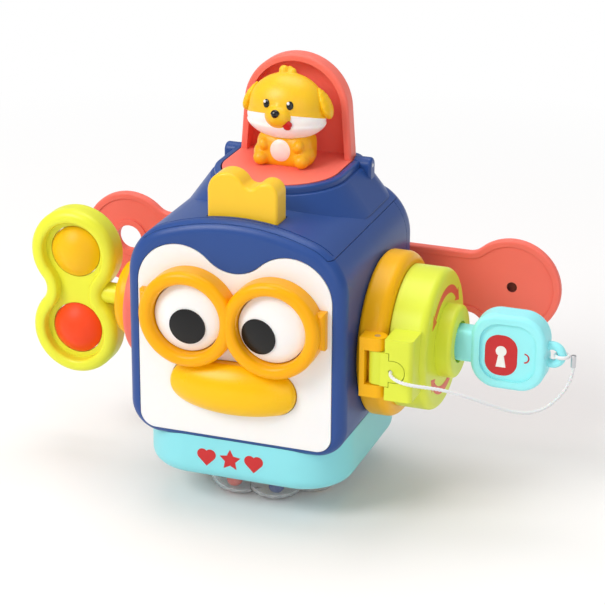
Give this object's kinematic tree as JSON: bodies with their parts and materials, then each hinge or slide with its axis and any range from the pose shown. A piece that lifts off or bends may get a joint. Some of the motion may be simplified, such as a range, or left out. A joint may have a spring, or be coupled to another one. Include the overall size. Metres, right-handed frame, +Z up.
{
  "type": "activity toy",
  "caption": "Baby's activity toy: animal head with pop-up puppy, press latch, spinning eyes, squeak beak, winder, key door, sliding strap and rattle foot.",
  "frame": {"origin": "centre of the flat foot under the rattle dome, at the floor", "axes": "+Z up, -Y towards the face, +X towards the key side"},
  "size_m": [0.2867, 0.1346, 0.2138],
  "materials": {
    "blue_shell": "satin",
    "white_plate": "satin",
    "goggle_orange": "gloss",
    "pupil_dark": "gloss",
    "beak_gold": "gloss",
    "inner_grey": "matt",
    "soft_grey": "matt",
    "coral": "satin",
    "dog_yellow": "satin",
    "latch_yellow": "gloss",
    "steel": "bright",
    "lemon": "satin",
    "bubble_orange": "gloss",
    "bubble_red": "gloss",
    "door_lime": "satin",
    "turquoise": "satin",
    "cord_white": "soft",
    "clear": "clear",
    "cap_white": "satin",
    "bead_navy": "gloss",
    "bead_yellow": "gloss",
    "bead_coral": "gloss"
  },
  "bodies": {
    "head": {"top_cover": "blue_shell", "body_shell": "blue_shell", "back_cover": "blue_shell", "face_plate": "white_plate", "goggles": "goggle_orange", "squeaker_bracket": "inner_grey", "beak_bellows": "soft_grey", "left_boss": "coral", "click_spring": "inner_grey", "right_ring": "goggle_orange", "door_hinge_pin": "steel", "popup_hinge_pin": "steel", "strap_guide": "cap_white", "base_tray": "turquoise", "rattle_dome": "clear", "rattle_cap": "cap_white", "beads_navy": "bead_navy", "beads_yellow": "bead_yellow", "beads_coral": "bead_coral", "back_screws": "steel", "base_screws": "steel", "guide_screws": "steel", "latch_spring": "steel"},
    "left_eye": {"left_eye": "white_plate", "left_pupil": "pupil_dark", "left_eye_clip": "inner_grey"},
    "right_eye": {"right_eye": "white_plate", "right_pupil": "pupil_dark", "right_eye_clip": "inner_grey"},
    "beak": {"beak": "beak_gold"},
    "winder": {"winder_hub": "goggle_orange", "winder_axle": "steel", "winder_front": "lemon", "winder_back": "lemon", "ratchet_wheel": "inner_grey", "winder_screw": "steel"},
    "upper_bubble": {"upper_bubble": "bubble_orange"},
    "lower_bubble": {"lower_bubble": "bubble_red"},
    "popup": {"popup_hood": "coral", "popup_spring": "steel", "dog_body": "dog_yellow", "dog_head": "dog_yellow", "dog_screw": "steel"},
    "latch": {"latch_button": "latch_yellow"},
    "door": {"door_outer": "door_lime", "door_inner": "door_lime", "tether_cord": "cord_white"},
    "lock": {"lock_core": "inner_grey", "lock_cam": "inner_grey"},
    "tether": {"tether_end": "steel"},
    "key": {"key": "turquoise", "tether_loop": "cord_white"},
    "strap": {"strap": "coral"}
  },
  "joints": [
    {"name": "popup_flip", "type": "hinge", "parent": "head", "child": "popup", "pos_m": [0, 0.0345, 0.1592], "axis": [1, 0, 0], "range_deg": [0, 90], "stiffness_Nm_per_rad": 0.02},
    {"name": "latch_press", "type": "slide", "parent": "head", "child": "latch", "axis": [0, 0, -1], "range_m": [0, 0.005], "stiffness_N_per_m": 250, "deforming": ["latch_spring"]},
    {"name": "left_eye_spin", "type": "hinge", "parent": "head", "child": "left_eye", "pos_m": [-0.0216, -0.056, 0.1049], "axis": [0, 1, 0], "continuous": true},
    {"name": "right_eye_spin", "type": "hinge", "parent": "head", "child": "right_eye", "pos_m": [0.0216, -0.056, 0.1049], "axis": [0, 1, 0], "continuous": true},
    {"name": "beak_press", "type": "slide", "parent": "head", "child": "beak", "axis": [0, 1, 0], "range_m": [0, 0.004], "stiffness_N_per_m": 400, "deforming": ["beak_bellows"]},
    {"name": "winder_spin", "type": "hinge", "parent": "head", "child": "winder", "pos_m": [-0.056, 0.001, 0.0855], "axis": [-1, 0, 0], "continuous": true},
    {"name": "upper_bubble_pop", "type": "slide", "parent": "winder", "child": "upper_bubble", "axis": [0, 1, 0], "range_m": [0, 0.006]},
    {"name": "lower_bubble_pop", "type": "slide", "parent": "winder", "child": "lower_bubble", "axis": [0, 1, 0], "range_m": [0, 0.006]},
    {"name": "door_swing", "type": "hinge", "parent": "head", "child": "door", "pos_m": [0.0675, -0.0413, 0.0855], "axis": [0, 0, -1], "range_deg": [0, 90]},
    {"name": "lock_core_turn", "type": "hinge", "parent": "door", "child": "lock", "pos_m": [0.0785, 0.001, 0.0855], "axis": [1, 0, 0], "range_deg": [0, 90]},
    {"name": "key_pull", "type": "slide", "parent": "door", "child": "tether", "axis": [1, 0, 0], "range_m": [0, 0.026], "deforming": ["tether_cord"]},
    {"name": "key_turn", "type": "hinge", "parent": "tether", "child": "key", "pos_m": [0.1034, 0.001, 0.0855], "axis": [1, 0, 0], "range_deg": [0, 90]},
    {"name": "strap_slide", "type": "slide", "parent": "head", "child": "strap", "axis": [1, 0, 0], "range_m": [-0.022, 0.022]}
  ],
  "couplings": [
    {"joint": "lock_core_turn", "follows": "key_turn", "ratio": 1}
  ]
}
